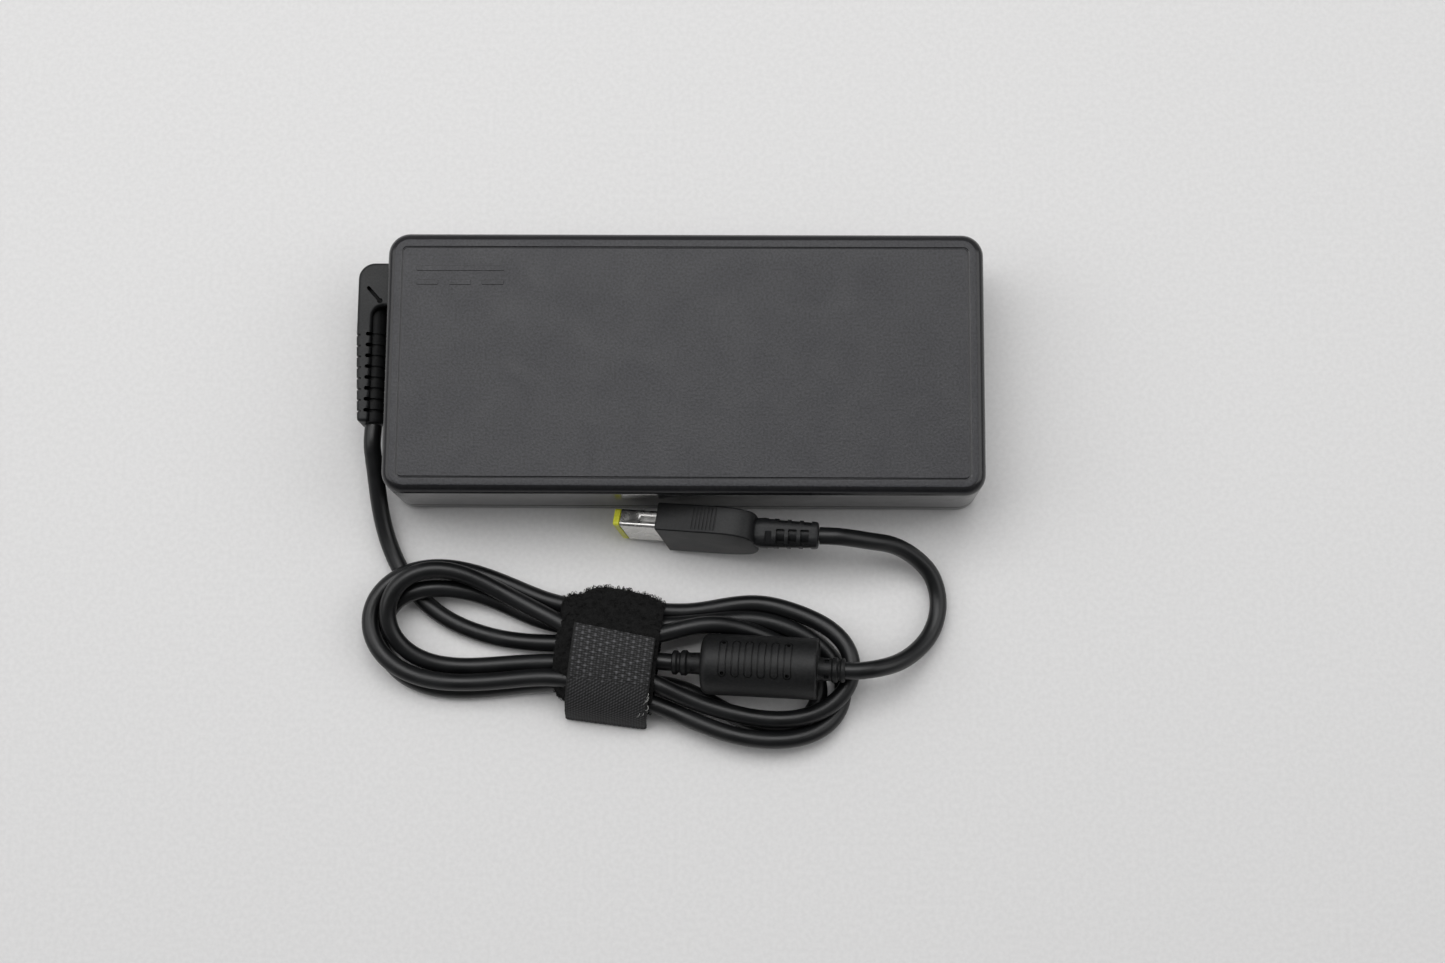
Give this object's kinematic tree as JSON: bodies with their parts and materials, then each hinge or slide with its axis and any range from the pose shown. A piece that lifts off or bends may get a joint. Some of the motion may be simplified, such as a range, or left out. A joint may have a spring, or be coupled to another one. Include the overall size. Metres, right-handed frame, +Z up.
{
  "type": "laptop power adapter",
  "caption": "Slim rectangular laptop power adapter with a mains inlet, an angled DC outlet boot, a cord wound in a strapped hank, a ferrite bead and a rectangular plug.",
  "frame": {"origin": "middle of the case's flat underside, on the surface that it lies on", "axes": "+X along the case from the DC outlet end to the mains inlet end, +Y from the side that the cord lies on to the back, +Z up out of the moulded top face"},
  "size_m": [0.1592, 0.1277, 0.0272],
  "materials": {
    "case_plastic": "fine-grained matt moulded shell",
    "boot_rubber": "soft satin overmould",
    "cord_jacket": "smooth satin cord jacket",
    "plug_plastic": "fine satin moulding",
    "nose_plastic": "bright yellow-green moulding",
    "strap_cloth": "woven hook tape and loop pile",
    "nickel": "nickel plating",
    "aluminium": "bare sheet",
    "copper": "enamelled copper winding",
    "board_green": "solder-masked laminate",
    "insulating_paper": "insulating paper",
    "ferrite": "unglazed ferrite",
    "epoxy_black": "moulded epoxy",
    "disc_blue": "dipped coating",
    "box_yellow": "moulded box",
    "can_sleeve": "shrink sleeve",
    "winding_tape": "polyester tape",
    "wire_red": "wire insulation",
    "wire_blue": "wire insulation",
    "wire_black": "wire insulation"
  },
  "bodies": {
    "adapter": {"top_cover": "case_plastic", "bottom_cover": "case_plastic", "shield_plate_top": "aluminium", "insulating_sheet_top": "insulating_paper", "heat_spreader_bottom": "aluminium", "insulating_sheet_bottom": "insulating_paper", "main_circuit_board": "board_green", "inlet_housing": "epoxy_black", "inlet_pin_line": "nickel", "inlet_pin_neutral": "nickel", "inlet_pin_earth": "nickel", "inlet_wire_line": "wire_black", "inlet_wire_neutral": "wire_blue", "inlet_wire_earth": "wire_red", "transformer_core": "ferrite", "transformer_winding": "winding_tape", "pfc_choke_core": "ferrite", "pfc_choke_winding": "copper", "filter_choke_core": "ferrite", "filter_choke_winding_1": "copper", "filter_choke_winding_2": "copper", "varistor": "disc_blue", "inrush_thermistor": "epoxy_black", "line_to_earth_capacitor_1": "disc_blue", "line_to_earth_capacitor_2": "disc_blue", "fuse": "nickel", "line_capacitor": "box_yellow", "bulk_capacitor": "can_sleeve", "bridge_rectifier": "epoxy_black", "primary_heatsink": "aluminium", "pfc_transistor": "epoxy_black", "pfc_diode": "epoxy_black", "primary_transistor": "epoxy_black", "secondary_heatsink": "aluminium", "rectifier_transistor_1": "epoxy_black", "rectifier_transistor_2": "epoxy_black", "output_capacitor_1": "can_sleeve", "output_capacitor_2": "can_sleeve", "output_capacitor_3": "can_sleeve", "output_choke": "copper", "optocoupler": "epoxy_black", "control_chip": "epoxy_black", "output_wire_positive": "wire_red", "output_wire_ground": "wire_black", "output_wire_sense": "wire_blue", "dc_outlet_boot": "boot_rubber", "dc_cord_lead": "cord_jacket", "dc_cord_hank": "cord_jacket", "dc_cord_end": "cord_jacket", "ferrite_bead_overmould": "boot_rubber", "ferrite_core": "ferrite", "plug_boot": "boot_rubber", "plug_housing": "plug_plastic", "plug_shell": "nickel", "plug_nose_insulator": "nose_plastic", "plug_contact_pin": "nickel", "strap_wrap": "strap_cloth"},
    "strap_tail": {"strap_tail": "strap_cloth"}
  },
  "joints": [
    {"name": "strap_tail_peel", "type": "hinge", "parent": "adapter", "child": "strap_tail", "pos_m": [-0.02142, -0.08352, 0.01275], "axis": [-0.9925, 0.1219, 0], "range_deg": [0, 90]}
  ]
}
